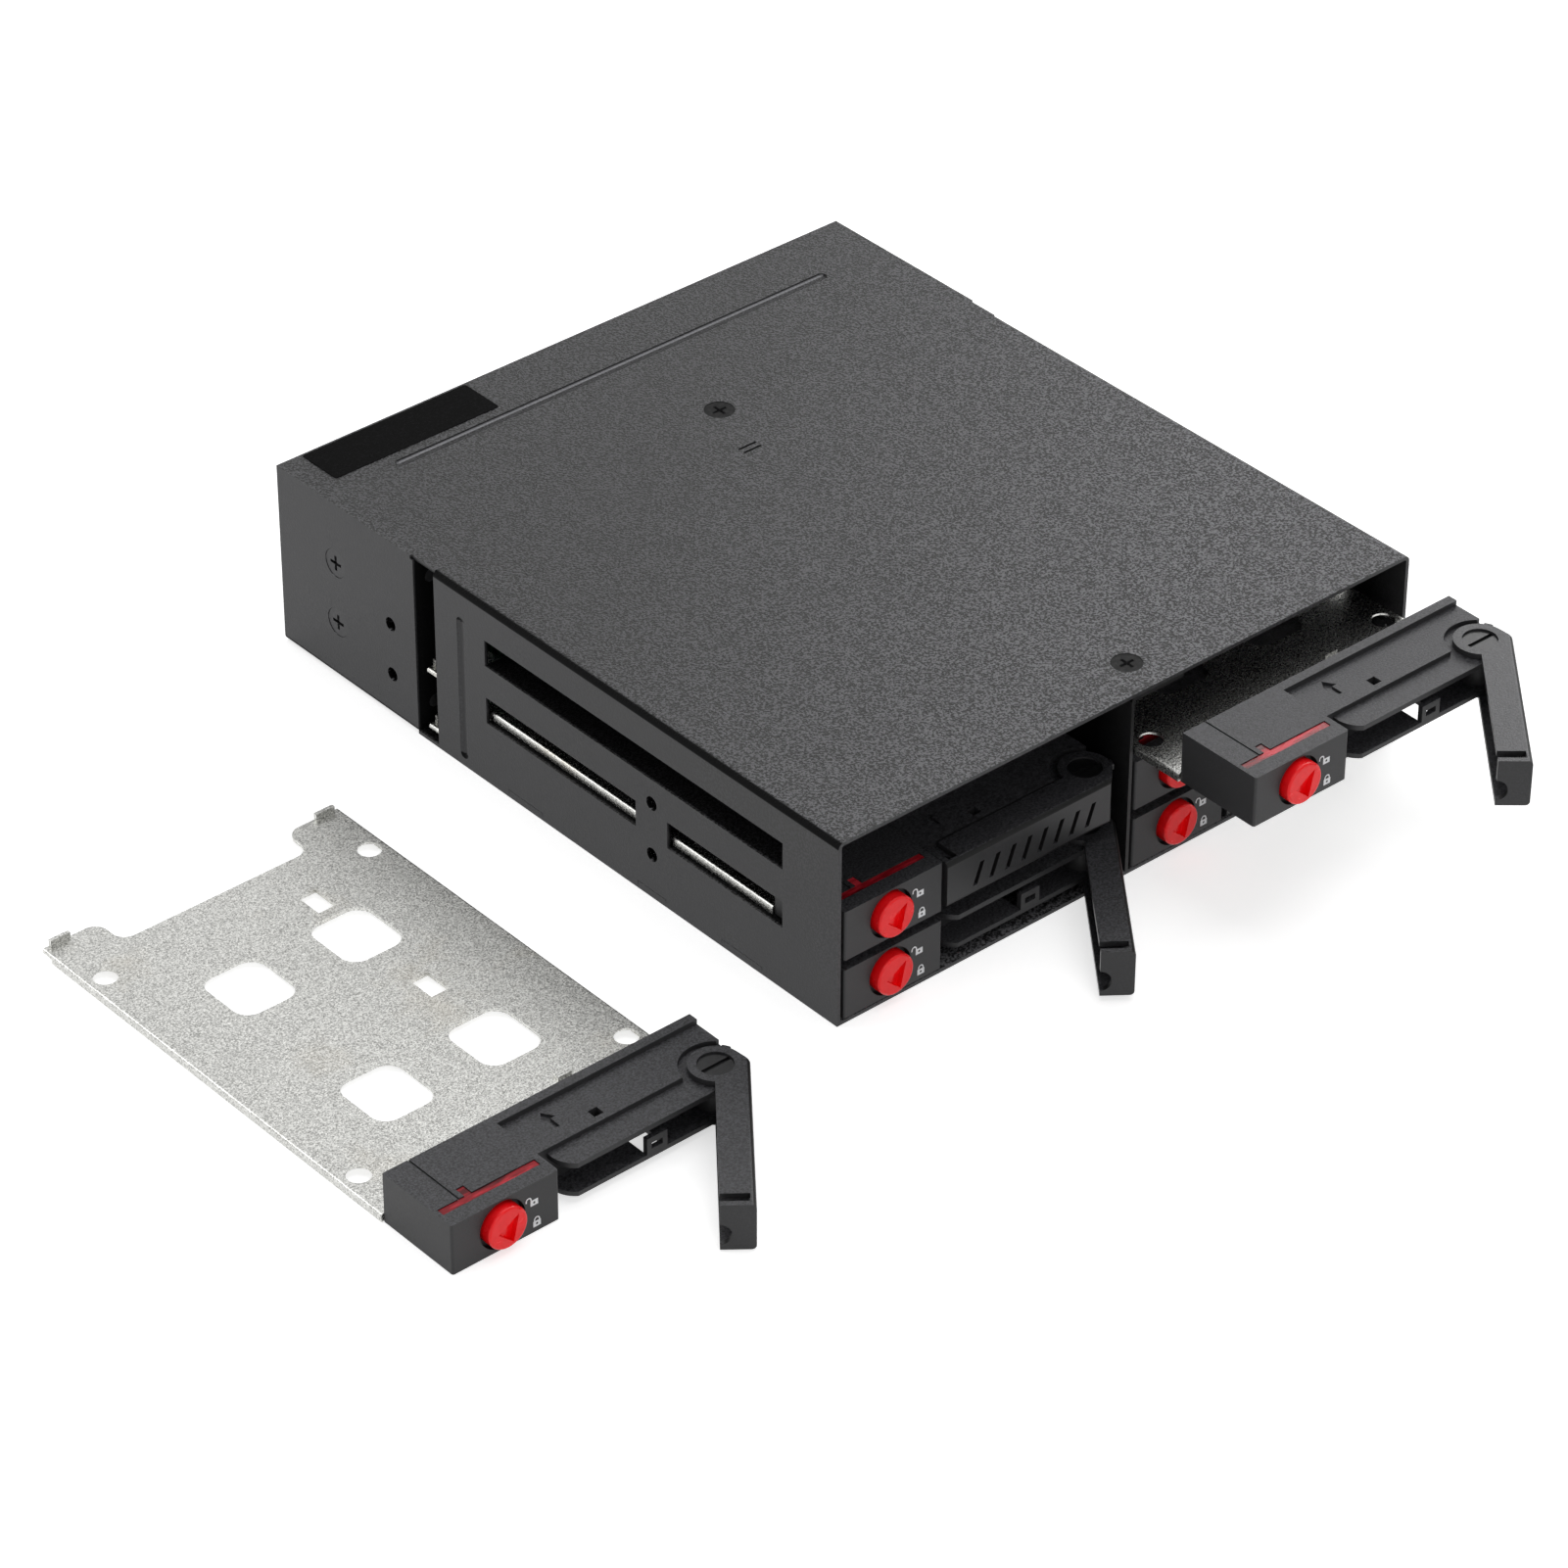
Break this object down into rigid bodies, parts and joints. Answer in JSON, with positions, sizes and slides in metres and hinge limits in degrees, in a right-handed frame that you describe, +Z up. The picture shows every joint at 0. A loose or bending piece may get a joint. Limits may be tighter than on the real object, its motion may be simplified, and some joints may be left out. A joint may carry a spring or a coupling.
{
  "type": "hot swap drive cage",
  "caption": "Half-height bay cage of black sheet steel with sliding trays for small drives, swing levers, rotary locks, a backplane and rear fans.",
  "frame": {"origin": "centre of the cage's underside", "axes": "+Z up, -Y towards the front face with the trays, +X to the right seen from the front"},
  "size_m": [0.2441, 0.2285, 0.0413],
  "materials": {
    "black_steel": "fine textured black powder coat",
    "divider_steel": "satin black",
    "tray_steel": "bright zinc coated sheet with a fine grain",
    "bezel_plastic": "finely textured black",
    "lever_plastic": "satin black with a glossy tip",
    "red_plastic": "glossy saturated red",
    "light_pipe": "translucent dark red",
    "pin_plastic": "satin black",
    "board": "dark green solder mask",
    "connector_plastic": "black",
    "power_plastic": "natural white",
    "screw_steel": "black oxide",
    "fan_plastic": "satin black"
  },
  "bodies": {
    "cage": {"top_cover": "black_steel", "bottom_cover": "black_steel", "center_divider": "divider_steel", "rear_panel": "black_steel", "backplane_board": "board", "drive_sockets": "connector_plastic", "data_ports": "connector_plastic", "power_sockets": "power_plastic", "roof_screws": "screw_steel", "side_screws": "screw_steel", "board_screws": "screw_steel", "fan_screws": "screw_steel", "fan_frame_left": "fan_plastic", "fan_frame_right": "fan_plastic"},
    "fan_left": {"fan_rotor_left": "fan_plastic"},
    "fan_right": {"fan_rotor_right": "fan_plastic"},
    "tray_bottom_left": {"tray_bottom_left_plate": "tray_steel", "tray_bottom_left_bezel": "bezel_plastic", "tray_bottom_left_light_pipe": "light_pipe", "tray_bottom_left_hinge_pin": "pin_plastic"},
    "lever_bottom_left": {"tray_bottom_left_lever": "lever_plastic"},
    "lock_bottom_left": {"tray_bottom_left_lock_knob": "red_plastic"},
    "tray_middle_left": {"tray_middle_left_plate": "tray_steel", "tray_middle_left_bezel": "bezel_plastic", "tray_middle_left_light_pipe": "light_pipe", "tray_middle_left_hinge_pin": "pin_plastic"},
    "lever_middle_left": {"tray_middle_left_lever": "lever_plastic"},
    "lock_middle_left": {"tray_middle_left_lock_knob": "red_plastic"},
    "tray_top_left": {"tray_top_left_plate": "tray_steel", "tray_top_left_bezel": "bezel_plastic", "tray_top_left_light_pipe": "light_pipe", "tray_top_left_hinge_pin": "pin_plastic"},
    "lever_top_left": {"tray_top_left_lever": "lever_plastic"},
    "lock_top_left": {"tray_top_left_lock_knob": "red_plastic"},
    "tray_bottom_right": {"tray_bottom_right_plate": "tray_steel", "tray_bottom_right_bezel": "bezel_plastic", "tray_bottom_right_light_pipe": "light_pipe", "tray_bottom_right_hinge_pin": "pin_plastic"},
    "lever_bottom_right": {"tray_bottom_right_lever": "lever_plastic"},
    "lock_bottom_right": {"tray_bottom_right_lock_knob": "red_plastic"},
    "tray_middle_right": {"tray_middle_right_plate": "tray_steel", "tray_middle_right_bezel": "bezel_plastic", "tray_middle_right_light_pipe": "light_pipe", "tray_middle_right_hinge_pin": "pin_plastic"},
    "lever_middle_right": {"tray_middle_right_lever": "lever_plastic"},
    "lock_middle_right": {"tray_middle_right_lock_knob": "red_plastic"},
    "tray_top_right": {"tray_top_right_plate": "tray_steel", "tray_top_right_bezel": "bezel_plastic", "tray_top_right_light_pipe": "light_pipe", "tray_top_right_hinge_pin": "pin_plastic"},
    "lever_top_right": {"tray_top_right_lever": "lever_plastic"},
    "lock_top_right": {"tray_top_right_lock_knob": "red_plastic"}
  },
  "joints": [
    {"name": "fan_left_spin", "type": "hinge", "parent": "cage", "child": "fan_left", "pos_m": [-0.0506, 0.0779, 0.0204], "axis": [0, 1, 0], "continuous": true},
    {"name": "fan_right_spin", "type": "hinge", "parent": "cage", "child": "fan_right", "pos_m": [0.0506, 0.0779, 0.0204], "axis": [0, 1, 0], "continuous": true},
    {"name": "tray_bottom_left_slide", "type": "slide", "parent": "cage", "child": "tray_bottom_left", "axis": [0, -1, 0], "range_m": [0, 0.15]},
    {"name": "lever_bottom_left_swing", "type": "hinge", "parent": "tray_bottom_left", "child": "lever_bottom_left", "pos_m": [-0.00615, -0.0777, 0.01], "axis": [0, 0, 1], "range_deg": [-52, 2]},
    {"name": "lock_bottom_left_turn", "type": "hinge", "parent": "tray_bottom_left", "child": "lock_bottom_left", "pos_m": [-0.06005, -0.0837, 0.0065], "axis": [0, 1, 0], "range_deg": [0, 90]},
    {"name": "tray_middle_left_slide", "type": "slide", "parent": "cage", "child": "tray_middle_left", "axis": [0, -1, 0], "range_m": [0, 0.15]},
    {"name": "lever_middle_left_swing", "type": "hinge", "parent": "tray_middle_left", "child": "lever_middle_left", "pos_m": [-0.00615, -0.0777, 0.02323], "axis": [0, 0, 1], "range_deg": [0, 54]},
    {"name": "lock_middle_left_turn", "type": "hinge", "parent": "tray_middle_left", "child": "lock_middle_left", "pos_m": [-0.06005, -0.0837, 0.01973], "axis": [0, 1, 0], "range_deg": [0, 90]},
    {"name": "tray_top_left_slide", "type": "slide", "parent": "cage", "child": "tray_top_left", "axis": [0, -1, 0], "range_m": [0, 0.15]},
    {"name": "lever_top_left_swing", "type": "hinge", "parent": "tray_top_left", "child": "lever_top_left", "pos_m": [-0.1054, -0.08745, 0.009], "axis": [0, 0, 1], "range_deg": [-51, 3]},
    {"name": "lock_top_left_turn", "type": "hinge", "parent": "tray_top_left", "child": "lock_top_left", "pos_m": [-0.1593, -0.09345, 0.0055], "axis": [0, 1, 0], "range_deg": [0, 90]},
    {"name": "tray_bottom_right_slide", "type": "slide", "parent": "cage", "child": "tray_bottom_right", "axis": [0, -1, 0], "range_m": [0, 0.15]},
    {"name": "lever_bottom_right_swing", "type": "hinge", "parent": "tray_bottom_right", "child": "lever_bottom_right", "pos_m": [0.06648, -0.0777, 0.01], "axis": [0, 0, 1], "range_deg": [0, 54]},
    {"name": "lock_bottom_right_turn", "type": "hinge", "parent": "tray_bottom_right", "child": "lock_bottom_right", "pos_m": [0.01257, -0.0837, 0.0065], "axis": [0, 1, 0], "range_deg": [0, 90]},
    {"name": "tray_middle_right_slide", "type": "slide", "parent": "cage", "child": "tray_middle_right", "axis": [0, -1, 0], "range_m": [0, 0.15]},
    {"name": "lever_middle_right_swing", "type": "hinge", "parent": "tray_middle_right", "child": "lever_middle_right", "pos_m": [0.06648, -0.0777, 0.02323], "axis": [0, 0, 1], "range_deg": [0, 54]},
    {"name": "lock_middle_right_turn", "type": "hinge", "parent": "tray_middle_right", "child": "lock_middle_right", "pos_m": [0.01257, -0.0837, 0.01973], "axis": [0, 1, 0], "range_deg": [0, 90]},
    {"name": "tray_top_right_slide", "type": "slide", "parent": "cage", "child": "tray_top_right", "axis": [0, -1, 0], "range_m": [-0.0314, 0.1186]},
    {"name": "lever_top_right_swing", "type": "hinge", "parent": "tray_top_right", "child": "lever_top_right", "pos_m": [0.06648, -0.1091, 0.03647], "axis": [0, 0, 1], "range_deg": [-49, 5]},
    {"name": "lock_top_right_turn", "type": "hinge", "parent": "tray_top_right", "child": "lock_top_right", "pos_m": [0.01257, -0.1151, 0.03297], "axis": [0, 1, 0], "range_deg": [0, 90]}
  ]
}
